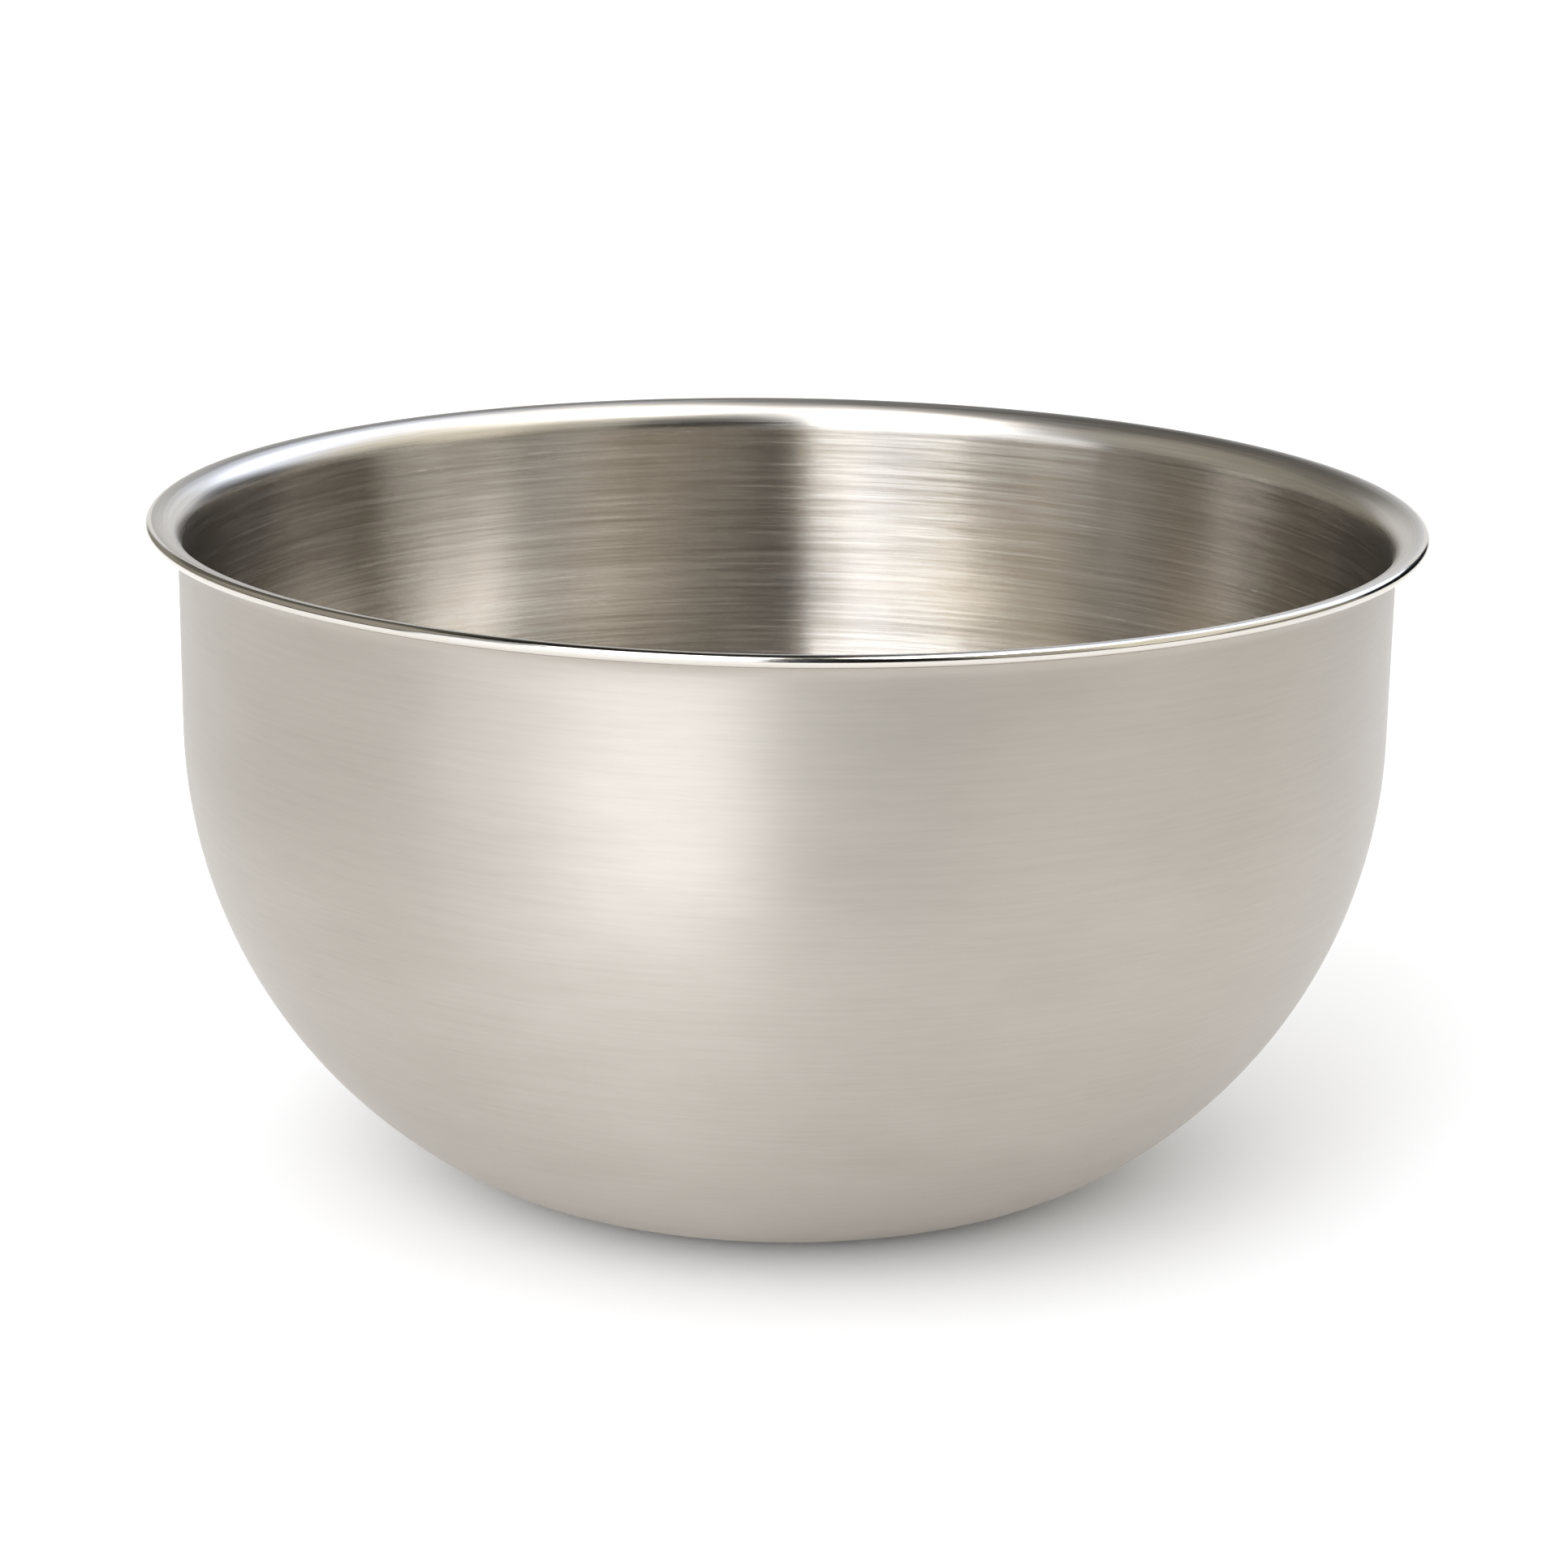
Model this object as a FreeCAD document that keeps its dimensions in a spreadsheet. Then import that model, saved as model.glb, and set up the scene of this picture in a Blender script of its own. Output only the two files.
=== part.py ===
import FreeCAD, Part
import math
import os
import Sketcher

# Deep mixing bowl, drawn from one round of stainless sheet. The wall flares outwards at
# the top into a polished lip, and the edge of the lip is hemmed under. The whole object
# is one continuous sheet, so it is one body.
# Origin: the centre of the flat base, on the surface it rests on. +Z is up.
# Sizes are millimetres and degrees.

SIZES = {
    # over the outside of the bowl
    "rim_diameter": 240.0,
    "bowl_height": 127.7,
    # the sheet
    "sheet_thickness": 0.8,
    # outside of the drawn shape, from the flat base up
    "base_share": 1 / 3,            # flat base diameter, as a share of the rim diameter
    "lower_arc_radius": 55.0,       # from the flat base to the side
    "body_arc_share": 0.75,         # radius of the side, as a share of the bowl height
    "wall_draft": 0.8,              # lean of the straight upper wall from the vertical
    # the lip and its hem
    "lip_overhang": 6.0,            # from the upper wall to the edge of the rim
    "hem_gap": 0.7,                 # open space inside the folded edge
    "hem_return": 1.6,              # flat length of the folded edge under the lip
}

NODE = "bowl_shell"

HEM_RADIUS = "(sizes.sheet_thickness + sizes.hem_gap / 2)"

START, END, CENTRE = 1, 2, 3
ORIGIN = (-1, 1)


def make_sheet(doc):
    """Puts every size in a spreadsheet cell of its own."""
    sheet = doc.addObject("Spreadsheet::Sheet", "sizes")
    for row, (name, value) in enumerate(SIZES.items(), start=1):
        sheet.set("A%d" % row, name)
        sheet.set("B%d" % row, str(value))
        sheet.setAlias("B%d" % row, name)
    doc.recompute()
    return sheet


def origin_feature(body, role):
    """The body's own origin plane or axis with this role."""
    for feature in body.Origin.OriginFeatures:
        if feature.Role == role:
            return feature
    raise ValueError("no origin feature " + role)


def point(x, z):
    return FreeCAD.Vector(x, z, 0)


def line(x0, z0, x1, z1):
    return Part.LineSegment(point(x0, z0), point(x1, z1))


def arc(x, z, radius, from_degrees, to_degrees):
    """An arc about x, z, anticlockwise between two directions."""
    circle = Part.Circle(point(x, z), FreeCAD.Vector(0, 0, 1), radius)
    return Part.ArcOfCircle(circle, math.radians(from_degrees), math.radians(to_degrees))


def starting_outline():
    """The section's lines and arcs where the sizes put them. The constraints hold them."""
    rim = SIZES["rim_diameter"] / 2
    top = SIZES["bowl_height"]
    sheet = SIZES["sheet_thickness"]
    draft = SIZES["wall_draft"]
    base = rim * SIZES["base_share"]
    lower = SIZES["lower_arc_radius"]
    side = top * SIZES["body_arc_share"]
    hem = sheet + SIZES["hem_gap"] / 2
    flare = SIZES["lip_overhang"] - hem
    bend_x = rim - hem
    flare_z = top - sheet - flare
    across = math.cos(math.radians(draft))
    down = math.sin(math.radians(draft))

    # the side arc touches both the lower arc and the leaning wall
    between = side - lower
    wall_offset = bend_x * across - flare_z * down - flare
    reach = base * across - lower * down + side - wall_offset
    meet = math.degrees(math.asin(reach / between)) - draft
    side_x = base - between * math.sin(math.radians(meet))
    side_z = lower + between * math.cos(math.radians(meet))

    def wall(from_side, from_flare):
        return line(side_x + from_side * across, side_z - from_side * down,
                    bend_x - from_flare * across, flare_z + from_flare * down)

    meet_at = 270 + meet
    wall_at = 360 - draft
    flare_at = 180 - draft
    fold_end = bend_x - SIZES["hem_return"]
    fold_z = top - 2 * hem
    return [
        ("base_under", line(0, 0, base, 0)),
        ("lower_out", arc(base, lower, lower, 270, meet_at)),
        ("side_out", arc(side_x, side_z, side, meet_at, wall_at)),
        ("wall_out", wall(side, flare)),
        ("flare_under", arc(bend_x, flare_z, flare, 90, flare_at)),
        ("hem_in", arc(bend_x, top - hem, hem - sheet, -90, 90)),
        ("fold_top", line(bend_x, fold_z + sheet, fold_end, fold_z + sheet)),
        ("fold_end", line(fold_end, fold_z + sheet, fold_end, fold_z)),
        ("fold_under", line(fold_end, fold_z, bend_x, fold_z)),
        ("hem_out", arc(bend_x, top - hem, hem, -90, 90)),
        ("flare_top", arc(bend_x, flare_z, flare + sheet, 90, flare_at)),
        ("wall_in", wall(side - sheet, flare + sheet)),
        ("side_in", arc(side_x, side_z, side - sheet, meet_at, wall_at)),
        ("lower_in", arc(base, lower, lower - sheet, 270, meet_at)),
        ("base_top", line(base, sheet, 0, sheet)),
        ("axis", line(0, sheet, 0, 0)),
    ]


def draw_section(sketch):
    """The section of the sheet from the axis to the rim, closed all round."""
    edge = {}
    for name, curve in starting_outline():
        edge[name] = sketch.addGeometry(curve, False)

    def smooth(first, first_end, second, second_end):
        sketch.addConstraint(
            Sketcher.Constraint("Tangent", edge[first], first_end, edge[second], second_end))

    def joined(first, first_end, second, second_end):
        sketch.addConstraint(
            Sketcher.Constraint("Coincident", edge[first], first_end, edge[second], second_end))

    def level(name):
        sketch.addConstraint(Sketcher.Constraint("Horizontal", edge[name]))

    def upright(name):
        sketch.addConstraint(Sketcher.Constraint("Vertical", edge[name]))

    def bound(label, expression, kind, *terms):
        number = sketch.addConstraint(Sketcher.Constraint(kind, *terms))
        sketch.renameConstraint(number, label)
        sketch.setExpression("Constraints." + label, expression)

    def radius(name, expression):
        bound(name, expression, "Radius", edge[name], sketch.Geometry[edge[name]].Radius)

    def along(label, expression, kind, first, second):
        """A level (DistanceX) or upright (DistanceY) distance between two points."""
        step = sketch.getPoint(*second) - sketch.getPoint(*first)
        bound(label, expression, kind, *first, *second,
              step.x if kind == "DistanceX" else step.y)

    # outside of the sheet, from the axis to the fold
    sketch.addConstraint(Sketcher.Constraint("Coincident", edge["base_under"], START, *ORIGIN))
    level("base_under")
    smooth("base_under", END, "lower_out", START)
    smooth("lower_out", END, "side_out", START)
    smooth("side_out", END, "wall_out", START)
    smooth("wall_out", END, "flare_under", END)
    smooth("flare_under", START, "hem_in", END)
    smooth("hem_in", START, "fold_top", START)
    level("fold_top")

    # end of the fold
    joined("fold_top", END, "fold_end", START)
    upright("fold_end")
    joined("fold_end", END, "fold_under", START)
    level("fold_under")

    # the other face of the same sheet, from the fold back to the axis
    smooth("fold_under", END, "hem_out", START)
    smooth("hem_out", END, "flare_top", START)
    smooth("flare_top", END, "wall_in", END)
    smooth("wall_in", START, "side_in", END)
    smooth("side_in", START, "lower_in", END)
    smooth("lower_in", START, "base_top", START)
    level("base_top")
    joined("base_top", END, "axis", START)
    joined("axis", END, "base_under", START)
    upright("axis")

    # both faces turn about the same centres
    joined("hem_out", CENTRE, "hem_in", CENTRE)
    joined("flare_top", CENTRE, "flare_under", CENTRE)
    joined("side_in", CENTRE, "side_out", CENTRE)
    joined("lower_in", CENTRE, "lower_out", CENTRE)
    sketch.addConstraint(Sketcher.Constraint("Parallel", edge["wall_in"], edge["wall_out"]))

    # the lip is level where it turns over into the hem
    sketch.addConstraint(Sketcher.Constraint(
        "Vertical", edge["hem_out"], CENTRE, edge["hem_out"], END))

    # sizes
    radius("lower_out", "sizes.lower_arc_radius")
    radius("side_out", "sizes.bowl_height * sizes.body_arc_share")
    radius("hem_out", HEM_RADIUS)
    radius("flare_under", "sizes.lip_overhang - " + HEM_RADIUS)
    along("base", "sizes.rim_diameter / 2 * sizes.base_share", "DistanceX",
          ORIGIN, (edge["base_under"], END))
    along("sheet", "sizes.sheet_thickness", "DistanceY",
          ORIGIN, (edge["axis"], START))
    along("rim", "sizes.rim_diameter / 2 - " + HEM_RADIUS, "DistanceX",
          ORIGIN, (edge["hem_out"], CENTRE))
    along("height", "sizes.bowl_height", "DistanceY",
          ORIGIN, (edge["hem_out"], END))
    along("fold", "sizes.hem_return", "DistanceX",
          (edge["fold_top"], END), (edge["fold_top"], START))
    bound("lean", "90 - sizes.wall_draft", "Angle",
          edge["wall_out"], math.radians(90 - SIZES["wall_draft"]))


def make_bowl(doc):
    """The bowl: its section turned once round the upright axis."""
    body = doc.addObject("PartDesign::Body", NODE)
    body.Label = NODE
    body.Placement = FreeCAD.Placement()
    sketch = body.newObject("Sketcher::SketchObject", "section")
    sketch.AttachmentSupport = [(origin_feature(body, "XZ_Plane"), "")]
    sketch.MapMode = "FlatFace"
    draw_section(sketch)
    doc.recompute()
    turned = body.newObject("PartDesign::Revolution", "turned")
    turned.Profile = sketch
    turned.ReferenceAxis = (origin_feature(body, "Z_Axis"), [""])
    turned.Angle = 360.0
    doc.recompute()
    return body


def check(doc, body):
    """Stops the build if anything in the document is unsound."""
    for item in doc.Objects:
        bad = [word for word in item.State if word in ("Invalid", "Error")]
        if bad:
            raise ValueError("%s is %s" % (item.Name, bad))
    shape = body.Shape
    if shape.isNull() or not shape.isValid():
        raise ValueError("the shape is not valid")
    if len(shape.Solids) != 1:
        raise ValueError("the bowl is not one solid")


def main():
    os.makedirs("parts", exist_ok=True)
    doc = FreeCAD.newDocument("mixing_bowl")
    make_sheet(doc)
    body = make_bowl(doc)
    doc.recompute()
    check(doc, body)
    body.Shape.exportStep("parts/%s.step" % NODE)
    box = body.Shape.BoundBox
    print("box", [round(v, 3) for v in (box.XLength, box.YLength, box.ZMin, box.ZMax)])
    print("volume", round(body.Shape.Volume, 1))


main()
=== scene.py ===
import math

import bpy
from mathutils import Matrix, Vector


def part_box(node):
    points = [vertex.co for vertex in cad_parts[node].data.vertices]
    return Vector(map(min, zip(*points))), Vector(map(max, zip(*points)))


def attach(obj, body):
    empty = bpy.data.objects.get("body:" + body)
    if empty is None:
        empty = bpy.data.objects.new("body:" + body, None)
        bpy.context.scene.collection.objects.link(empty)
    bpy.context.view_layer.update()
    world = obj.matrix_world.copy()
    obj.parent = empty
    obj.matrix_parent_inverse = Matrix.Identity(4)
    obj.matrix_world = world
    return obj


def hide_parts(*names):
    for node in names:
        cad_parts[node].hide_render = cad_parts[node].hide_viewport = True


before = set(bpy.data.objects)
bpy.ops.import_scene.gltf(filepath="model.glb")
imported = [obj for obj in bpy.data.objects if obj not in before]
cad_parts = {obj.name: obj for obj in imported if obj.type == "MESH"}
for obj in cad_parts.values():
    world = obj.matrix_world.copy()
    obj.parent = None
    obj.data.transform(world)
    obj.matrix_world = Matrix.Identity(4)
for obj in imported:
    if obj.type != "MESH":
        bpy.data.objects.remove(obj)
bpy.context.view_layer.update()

_, shell_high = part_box("bowl_shell")

MM = 0.001

# the bowl's own sizes, in metres
RIM = 120.0 * MM
TOP = shell_high[2]
SHEET = 0.8 * MM
HEM = 1.15 * MM                     # outside radius of the folded edge
FLARE = 4.85 * MM                   # underside radius of the lip
FOLD = 1.6 * MM                     # flat length of the folded edge under the lip
BASE = 40.0 * MM                    # radius of the flat base
LOWER = 55.0 * MM                   # outside radius from the base to the side
SIDE = 0.75 * TOP                   # outside radius of the side
DRAFT = math.radians(0.8)           # how far the upper wall leans out

AROUND = 320                        # steps round the bowl
BASE_STEPS = 6                      # steps along each stretch of the outline
LOWER_STEPS = 12
SIDE_STEPS = 34
WALL_STEPS = 12
SEAM = 0.001 * MM                   # points closer than this are one
NEAR_AXIS = 0.5 * MM                # the streaks stop turning closer in than this
SMOOTH_BELOW = math.radians(50)     # edges sharper than this stay crisp


# ---------------------------------------------------------------- hand tools

def deselect_all():
    if bpy.context.object and bpy.context.object.mode != "OBJECT":
        bpy.ops.object.mode_set(mode="OBJECT")
    bpy.ops.object.select_all(action="DESELECT")


def one_point(name, x, z):
    """A single vertex to draw from, left in edit mode and selected."""
    deselect_all()
    bpy.ops.mesh.primitive_plane_add(size=MM, location=(0, 0, 0))
    piece = bpy.context.object
    piece.name = name
    piece.data.name = name
    bpy.ops.object.mode_set(mode="EDIT")
    bpy.ops.mesh.select_all(action="SELECT")
    bpy.ops.mesh.merge(type="CENTER")
    bpy.ops.transform.translate(value=(x, 0, z))
    return piece


def draw_line(dx, dz, steps=1):
    for _ in range(steps):
        bpy.ops.mesh.extrude_vertices_move(
            TRANSFORM_OT_translate={"value": (dx / steps, 0, dz / steps)})


def draw_arc(x, z, turn, steps):
    """Sweeps the last vertex about x, z. A positive turn goes from +X towards +Z."""
    bpy.ops.mesh.spin(steps=steps, angle=turn, center=(x, 0, z), axis=(0, 1, 0))


def turn_round(piece, steps):
    """Spins the drawn outline once round the upright axis and closes the seam and poles."""
    bpy.ops.mesh.select_all(action="SELECT")
    bpy.ops.mesh.spin(steps=steps, angle=2 * math.pi, center=(0, 0, 0), axis=(0, 0, 1))
    bpy.ops.mesh.select_all(action="SELECT")
    bpy.ops.mesh.remove_doubles(threshold=SEAM)
    bpy.ops.mesh.normals_make_consistent(inside=False)
    bpy.ops.object.mode_set(mode="OBJECT")


# ---------------------------------------------------------------- the bowl

def draw_bowl():
    """The sheet's closed outline: inside face, lip, hem and fold, then outside face."""
    bend = RIM - HEM
    flare_z = TOP - SHEET - FLARE
    across = math.cos(DRAFT)
    down = math.sin(DRAFT)
    between = SIDE - LOWER
    wall_offset = bend * across - flare_z * down - FLARE
    meet = math.asin((BASE * across - LOWER * down + SIDE - wall_offset) / between) - DRAFT
    side_x = BASE - between * math.sin(meet)
    side_z = LOWER + between * math.cos(meet)
    rise = math.pi / 2 - DRAFT - meet
    wall_dx = (bend - FLARE * across) - (side_x + SIDE * across)
    wall_dz = (flare_z + FLARE * down) - (side_z - SIDE * down)

    piece = one_point("steel_bowl", 0, SHEET)
    draw_line(BASE, 0, BASE_STEPS)
    draw_arc(BASE, LOWER, meet, LOWER_STEPS)
    draw_arc(side_x, side_z, rise, SIDE_STEPS)
    draw_line(wall_dx, wall_dz, WALL_STEPS)
    draw_arc(bend, flare_z, DRAFT - math.pi / 2, 16)
    draw_arc(bend, TOP - HEM, -math.pi, 18)
    draw_line(-FOLD, 0, 2)
    draw_line(0, SHEET, 1)
    draw_line(FOLD, 0, 2)
    draw_arc(bend, TOP - HEM, math.pi, 10)
    draw_arc(bend, flare_z, math.pi / 2 - DRAFT, 14)
    draw_line(-wall_dx, -wall_dz, WALL_STEPS)
    draw_arc(side_x, side_z, -rise, SIDE_STEPS)
    draw_arc(BASE, LOWER, -meet, LOWER_STEPS)
    draw_line(-BASE, 0, BASE_STEPS)
    turn_round(piece, AROUND)
    deselect_all()
    piece.select_set(True)
    bpy.context.view_layer.objects.active = piece
    bpy.ops.object.transform_apply(location=True, rotation=True, scale=True)
    bpy.ops.object.shade_smooth_by_angle(angle=SMOOTH_BELOW)
    return piece


bowl = draw_bowl()
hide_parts("bowl_shell")
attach(bowl, "root")

# ---------------------------------------------------------------- steel

class Finish:
    """A steel finish being put together: its material, its shader and short ways to add nodes."""

    def __init__(self, name, colour, roughness, anisotropy):
        self.material = bpy.data.materials.new(name)
        self.material.use_nodes = True
        self.tree = self.material.node_tree
        self.shader = self.tree.nodes["Principled BSDF"]
        self.shader.inputs["Base Color"].default_value = (*colour, 1)
        self.shader.inputs["Metallic"].default_value = 1.0
        self.shader.inputs["Roughness"].default_value = roughness
        self.shader.inputs["Anisotropic"].default_value = anisotropy
        self.shader.inputs["Anisotropic Rotation"].default_value = 0.25
        grain = self.node("ShaderNodeTangent", direction_type="RADIAL", axis="Z")
        self.link(grain.outputs["Tangent"], self.shader.inputs["Tangent"])

    def node(self, kind, **settings):
        node = self.tree.nodes.new(kind)
        for name, value in settings.items():
            setattr(node, name, value)
        return node

    def link(self, source, socket):
        self.tree.links.new(source, socket)

    def math(self, operation, first, second=None, third=None, clamp=False):
        """A Math node. Each input is a number or another node's output."""
        node = self.node("ShaderNodeMath", operation=operation, use_clamp=clamp)
        for socket, value in zip(node.inputs, (first, second, third)):
            if value is None:
                continue
            if isinstance(value, (int, float)):
                socket.default_value = value
            else:
                self.link(value, socket)
        return node.outputs["Value"]

    def place(self):
        """x, y and z on the piece, in metres."""
        parts = self.node("ShaderNodeSeparateXYZ")
        self.link(self.node("ShaderNodeTexCoord").outputs["Object"], parts.inputs[0])
        return parts.outputs

    def round_the_bowl(self):
        """x and y of the direction from the axis, and the way along the sheet, in metres.

        The way along the sheet grows from the middle of the base out to the rim, on
        the inside and the outside alike, so lines of one value run round the bowl."""
        x, y, z = self.place()
        out = self.math("SQRT", self.math("ADD", self.math("MULTIPLY", x, x),
                                          self.math("MULTIPLY", y, y)))
        out = self.math("MAXIMUM", out, NEAR_AXIS)
        along = self.math("ADD", out, z)
        return self.math("DIVIDE", x, out), self.math("DIVIDE", y, out), along

    def streaks(self, around, across, detail=3.0, roughness=0.55, shift=0.0):
        """Noise drawn out round the bowl. around is the number of streaks in a radian and
        across the number in a metre of sheet. shift moves on to a different part of it."""
        x, y, along = self.round_the_bowl()
        at = self.node("ShaderNodeCombineXYZ")
        self.link(self.math("MULTIPLY", x, around), at.inputs[0])
        self.link(self.math("MULTIPLY", y, around), at.inputs[1])
        self.link(self.math("MULTIPLY_ADD", along, across, shift), at.inputs[2])
        noise = self.node("ShaderNodeTexNoise", noise_dimensions="3D")
        self.link(at.outputs[0], noise.inputs["Vector"])
        noise.inputs["Scale"].default_value = 1.0
        noise.inputs["Detail"].default_value = detail
        noise.inputs["Roughness"].default_value = roughness
        return noise.outputs["Fac"]

    def between(self, value, low, high, to_low, to_high):
        """Moves a value from one range to another, held at both ends."""
        node = self.node("ShaderNodeMapRange", clamp=True)
        self.link(value, node.inputs["Value"])
        for name, number in (("From Min", low), ("From Max", high),
                             ("To Min", to_low), ("To Max", to_high)):
            node.inputs[name].default_value = number
        return node.outputs["Result"]

    def tint(self, value, dark, light):
        """Colours the steel between two tones by a value from 0 to 1."""
        mix = self.node("ShaderNodeMix", data_type="RGBA")
        self.link(value, mix.inputs["Factor"])
        mix.inputs["A"].default_value = (*dark, 1)
        mix.inputs["B"].default_value = (*light, 1)
        self.link(mix.outputs["Result"], self.shader.inputs["Base Color"])

    def relief(self, height, depth, below=None):
        """A bump of this depth in metres, on top of another bump if one is given."""
        bump = self.node("ShaderNodeBump")
        bump.inputs["Strength"].default_value = 1.0
        bump.inputs["Distance"].default_value = depth
        self.link(height, bump.inputs["Height"])
        if below is not None:
            self.link(below, bump.inputs["Normal"])
        return bump.outputs["Normal"]


# base colours, each with the darker and lighter tone that the grain runs between
STEEL = (0.66, 0.625, 0.575)
STEEL_DARK = (0.57, 0.53, 0.475)
STEEL_LIGHT = (0.75, 0.72, 0.675)
# the outside's tones are the same steel painted darker than the inside's: painted shade, which
# dims the bright floor and key reflected in the outside
SHADED_SATIN = (0.50, 0.463, 0.417)
SHADED_SATIN_DARK = (0.435, 0.402, 0.358)
SHADED_SATIN_LIGHT = (0.555, 0.516, 0.470)

# the heights between which the brushing fades out at the lip
BRUSHED_BELOW = TOP - 6.5 * MM
PLAIN_ABOVE = TOP - 2.5 * MM


def satin_outside_painted_shade():
    """Fine satin grain turned round the outside, over broad cloudy patches. Its tones are the
    same steel painted darker than the inside, a painted shade that dims the floor and key
    reflected in it.
    """
    finish = Finish("satin_outside_painted_shade", SHADED_SATIN, 0.43, 0.78)
    fine = finish.streaks(5.0, 1000.0, detail=4.0, roughness=0.75)
    broad = finish.streaks(3.0, 55.0, detail=3.0, shift=4.0)
    rough = finish.between(fine, 0.25, 0.75, 0.40, 0.46)
    finish.link(rough, finish.shader.inputs["Roughness"])
    grain = finish.between(fine, 0.30, 0.70, 0.0, 0.42)
    uneven = finish.math("MULTIPLY_ADD", broad, 0.58, grain)
    # painted shade: the grain runs between tones set darker than the inside steel
    finish.tint(uneven, SHADED_SATIN_DARK, SHADED_SATIN_LIGHT)
    slow = finish.relief(broad, 0.15 * MM)
    lines = finish.relief(fine, 0.002 * MM, below=slow)
    finish.link(lines, finish.shader.inputs["Normal"])
    return finish


def brushed_inside():
    """Brushing turned round the inside: fine lines, with longer rough strokes among them.
    It fades into a plainer polish where the sheet turns outwards at the lip."""
    finish = Finish("brushed_inside", STEEL, 0.22, 1.0)
    lip = finish.between(finish.place()[2], BRUSHED_BELOW, PLAIN_ABOVE, 0.0, 1.0)
    brushed = finish.math("SUBTRACT", 1.0, lip)
    fine = finish.streaks(2.6, 1300.0, detail=3.0, roughness=0.7)
    strokes = finish.streaks(4.0, 1500.0, detail=2.0, shift=9.0)
    strong = finish.math("MULTIPLY", brushed, finish.between(strokes, 0.54, 0.72, 0.0, 1.0))
    rough = finish.between(fine, 0.3, 0.7, 0.16, 0.22)
    rough = finish.math("MULTIPLY_ADD", strong, 0.07, rough)
    rough = finish.math("MULTIPLY_ADD", lip, 0.15, rough)
    finish.link(rough, finish.shader.inputs["Roughness"])
    drawn_out = finish.math("MULTIPLY_ADD", strong, -0.35, 1.0)
    drawn_out = finish.math("MULTIPLY_ADD", lip, -0.60, drawn_out)
    finish.link(drawn_out, finish.shader.inputs["Anisotropic"])
    shade = finish.between(fine, 0.3, 0.7, 0.0, 0.8)
    shade = finish.math("MULTIPLY_ADD", strong, 0.2, shade, clamp=True)
    finish.tint(shade, STEEL_DARK, STEEL_LIGHT)
    lines = finish.relief(fine, 0.006 * MM)
    scores = finish.relief(strong, 0.004 * MM, below=lines)
    finish.link(scores, finish.shader.inputs["Normal"])
    return finish


def polished_lip():
    """The rolled edge, polished brighter, with the faint rings of the polishing wheel."""
    finish = Finish("polished_lip", STEEL, 0.14, 0.0)
    rings = finish.streaks(6.0, 2500.0, detail=2.0, shift=2.0)
    rough = finish.between(rings, 0.3, 0.7, 0.11, 0.17)
    finish.link(rough, finish.shader.inputs["Roughness"])
    finish.tint(rings, STEEL_DARK, STEEL_LIGHT)
    finish.link(finish.relief(rings, 0.001 * MM), finish.shader.inputs["Normal"])
    return finish


def put_on(piece, finishes, choose):
    """Gives every face of the piece the finish that choose names by the face's middle."""
    deselect_all()
    piece.select_set(True)
    bpy.context.view_layer.objects.active = piece
    piece.data.materials.clear()
    for finish in finishes:
        piece.data.materials.append(finish.material)
    for number in range(1, len(finishes)):
        bpy.ops.object.mode_set(mode="EDIT")
        bpy.ops.mesh.select_all(action="DESELECT")
        bpy.ops.object.mode_set(mode="OBJECT")
        for face in piece.data.polygons:
            face.select = choose(face) == number
        bpy.ops.object.mode_set(mode="EDIT")
        piece.active_material_index = number
        bpy.ops.object.material_slot_assign()
        bpy.ops.object.mode_set(mode="OBJECT")


def bowl_finish(face):
    """0 outside, 1 inside and over the lip, 2 the rolled edge and the fold under it."""
    x, y, z = face.center
    out = math.hypot(x, y)
    facing = (face.normal.x * x + face.normal.y * y) / max(out, MM)
    lip_start = TOP - SHEET - FLARE
    if z > lip_start and out > RIM - HEM - FLARE - SHEET - 0.01 * MM:
        if out > RIM - HEM:
            return 2
        on_top = math.hypot(out - (RIM - HEM), z - lip_start) > FLARE + SHEET / 2
        return 1 if on_top else 0
    if out < BASE:
        return 1 if face.normal.z > 0 else 0
    return 1 if facing < 0 else 0


put_on(bowl, (satin_outside_painted_shade(), brushed_inside(), polished_lip()), bowl_finish)

# ---------------------------------------------------------------- floor, light and camera

WHITE = (1.0, 1.0, 1.0)
WARM = (1.0, 0.95, 0.82)
COOL = (0.96, 0.99, 1.04)
DAYLIGHT = (0.87, 0.96, 1.16)

CARD_EYE = 0.06                     # height that the cards' angles are taken from
CARD_STEP = 6                       # degrees of a card to each flat strip
FLOOR_SIZE = 12
FLOOR_GREY = 0.9
WORLD_LIGHT = 1.18


def glow(name, brightness, colour):
    """A material that only gives off light."""
    material = bpy.data.materials.new(name)
    material.use_nodes = True
    material.node_tree.nodes.clear()
    light = material.node_tree.nodes.new("ShaderNodeEmission")
    light.inputs["Color"].default_value = (*colour, 1)
    light.inputs["Strength"].default_value = brightness
    out = material.node_tree.nodes.new("ShaderNodeOutputMaterial")
    material.node_tree.links.new(light.outputs["Emission"], out.inputs["Surface"])
    return material


def hide_from_view(piece, lights_floor):
    """A studio card is never seen itself. It shows in the steel, and may light the floor."""
    piece.visible_camera = False
    piece.visible_diffuse = lights_floor
    piece.visible_shadow = False


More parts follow.
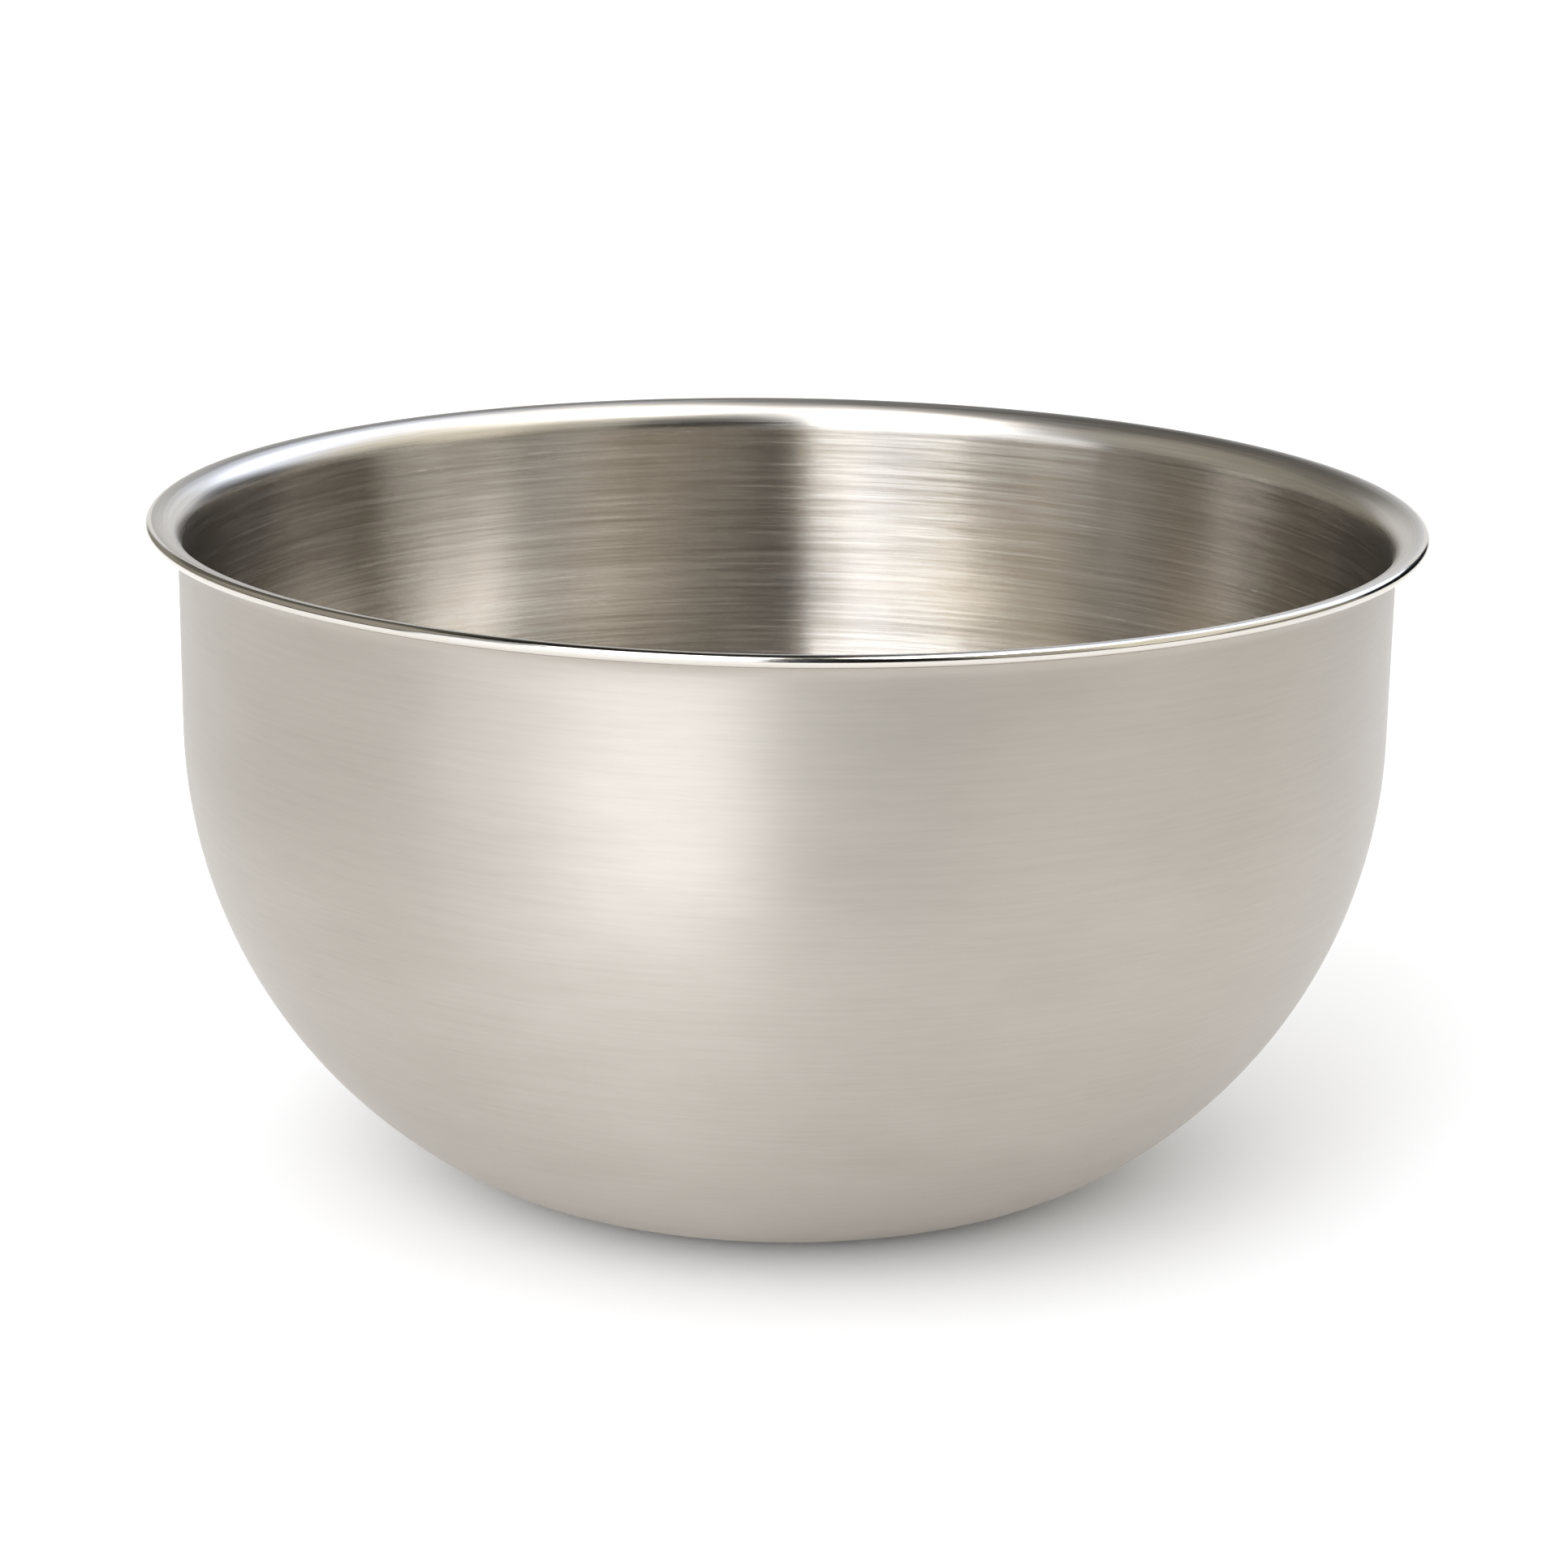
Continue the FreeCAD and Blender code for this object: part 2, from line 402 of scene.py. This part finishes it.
def card(name, start, end, low, high, away, brightness, colour, lights_floor=False):
    """A curved studio card round the bowl, from one direction to another and from a low
    to a high angle, in degrees. 0 is behind the bowl, 90 to its right, 180 the camera.
    The angles are taken from CARD_EYE above the floor."""
    bottom = max(away * math.tan(math.radians(low)) + CARD_EYE, 0.0)
    top = away * math.tan(math.radians(high)) + CARD_EYE
    piece = one_point(name, away, bottom)
    draw_line(0, top - bottom, 4)
    bpy.ops.mesh.select_all(action="SELECT")
    steps = max(2, round((end - start) / CARD_STEP))
    bpy.ops.mesh.spin(steps=steps, angle=math.radians(end - start), center=(0, 0, 0),
                      axis=(0, 0, 1))
    bpy.ops.object.mode_set(mode="OBJECT")
    piece.rotation_euler = (0, 0, math.radians(90 - start))
    bpy.ops.object.transform_apply(location=True, rotation=True, scale=True)
    piece.data.materials.append(glow(name, brightness, colour))
    hide_from_view(piece, lights_floor)
    return piece


deselect_all()
bpy.ops.mesh.primitive_plane_add(size=FLOOR_SIZE, location=(0, 0, 0))
floor = bpy.context.object
floor.name = "floor"
pale = bpy.data.materials.new("pale_floor")
pale.use_nodes = True
pale_shader = pale.node_tree.nodes["Principled BSDF"]
pale_shader.inputs["Base Color"].default_value = (*[FLOOR_GREY] * 3, 1)
pale_shader.inputs["Roughness"].default_value = 0.6
pale_shader.inputs["Specular IOR Level"].default_value = 0.0
floor.data.materials.append(pale)

# the cards and softboxes that show in the steel; what lies between them is black.
# name, start, end, low, high, away, brightness, colour, and True if it lights the floor
CARDS = (
    ("backdrop", 336, 384, -3, 20, 2.6, 0.9, WHITE),
    ("window", 7, 24, 20, 56, 2.6, 0.9, DAYLIGHT),
    ("white_wall", 24, 44, 20, 56, 2.6, 2.9, DAYLIGHT),
    ("white_wall_side", 44, 64, 20, 56, 2.6, 1.7, DAYLIGHT),
    ("white_wall_end", 64, 100, 20, 56, 2.6, 1.0, WARM),
    ("right_card_near", 100, 122, 8, 56, 2.6, 1.0, WARM),
    ("right_card", 122, 146, 8, 56, 2.6, 0.5, WARM),
    ("left_near", 250, 285, 8, 56, 2.7, 0.4, WARM),
    ("left_card", 285, 310, 20, 56, 2.7, 0.4, WARM),
    ("left_far", 310, 336, 20, 56, 2.7, 0.15, WARM),
    ("back_flag", 336, 360, 20, 56, 2.7, 0.08, WARM),
    ("left_low", 285, 336, -3, 20, 2.7, 0.3, WARM),
    ("right_low", 62, 100, -3, 20, 2.7, 0.3, WARM),
    ("key_softbox", 185, 217, 26, 56, 2.5, 3.6, COOL, True),
    ("key_softbox_low", 185, 217, 8, 26, 2.5, 5.4, COOL, True),
    ("key_low", 185, 217, -3, 8, 2.6, 0.8, COOL),
    ("key_edge", 217, 226, 26, 56, 2.6, 6.0, COOL),
    ("key_edge_low", 217, 246, -3, 26, 2.6, 1.5, COOL),
    ("key_spill", 226, 245, 26, 56, 2.6, 0.6, COOL),
    ("top_softbox", 103, 154, 57, 80, 2.4, 7.5, WHITE),
    ("top_side", 62, 103, 57, 80, 2.4, 5.0, WHITE),
    ("top_right", 20, 62, 57, 80, 2.4, 2.0, WHITE),
    ("top_key", 184, 245, 57, 80, 2.4, 5.5, WHITE),
)
for row in CARDS:
    card(*row)

# these two light the floor and don't show in the steel
floor_light = card("floor_light", 195, 262, 15, 55, 3.2, 2.0, WHITE, lights_floor=True)
floor_light.visible_glossy = False
front_light = card("front_light", 170, 215, 4, 24, 3.4, 3.8, WHITE, lights_floor=True)
front_light.visible_glossy = False

world = bpy.data.worlds.new("studio")
world.use_nodes = True
sky = world.node_tree.nodes["Background"]
sky.inputs["Color"].default_value = (*WHITE, 1)
sky.inputs["Strength"].default_value = WORLD_LIGHT
world.cycles_visibility.glossy = False
bpy.context.scene.world = world
bpy.context.scene.view_settings.view_transform = "Standard"


FRAME_SIZE = 1932                   # picture width that the focal length is given in
FOCAL_LENGTH = 6442.7
SENSOR = 36.0


def place_camera():
    """A 120 mm lens one metre from the bowl, looking down at it and rolled slightly."""
    elevation = math.radians(15.36)
    tilt = math.radians(0.82)
    roll = math.radians(-0.807)
    away = 1.0
    aim_height = 0.060
    lens = bpy.data.cameras.new("camera")
    lens.sensor_width = SENSOR
    lens.lens = SENSOR * FOCAL_LENGTH / FRAME_SIZE
    lens.clip_start = 0.01
    camera = bpy.data.objects.new("camera", lens)
    bpy.context.scene.collection.objects.link(camera)
    place = Vector((0, -away * math.cos(elevation),
                    away * math.sin(elevation) + aim_height))
    look = elevation - tilt
    forward = Vector((0, math.cos(look), -math.sin(look)))
    upward = Vector((0, math.sin(look), math.cos(look)))
    right = Vector((1, 0, 0))
    right_turned = right * math.cos(roll) - upward * math.sin(roll)
    up_turned = upward * math.cos(roll) + right * math.sin(roll)
    turn = Matrix((right_turned, up_turned, -forward)).transposed()
    camera.matrix_world = Matrix.Translation(place) @ turn.to_4x4()
    bpy.context.scene.camera = camera


place_camera()
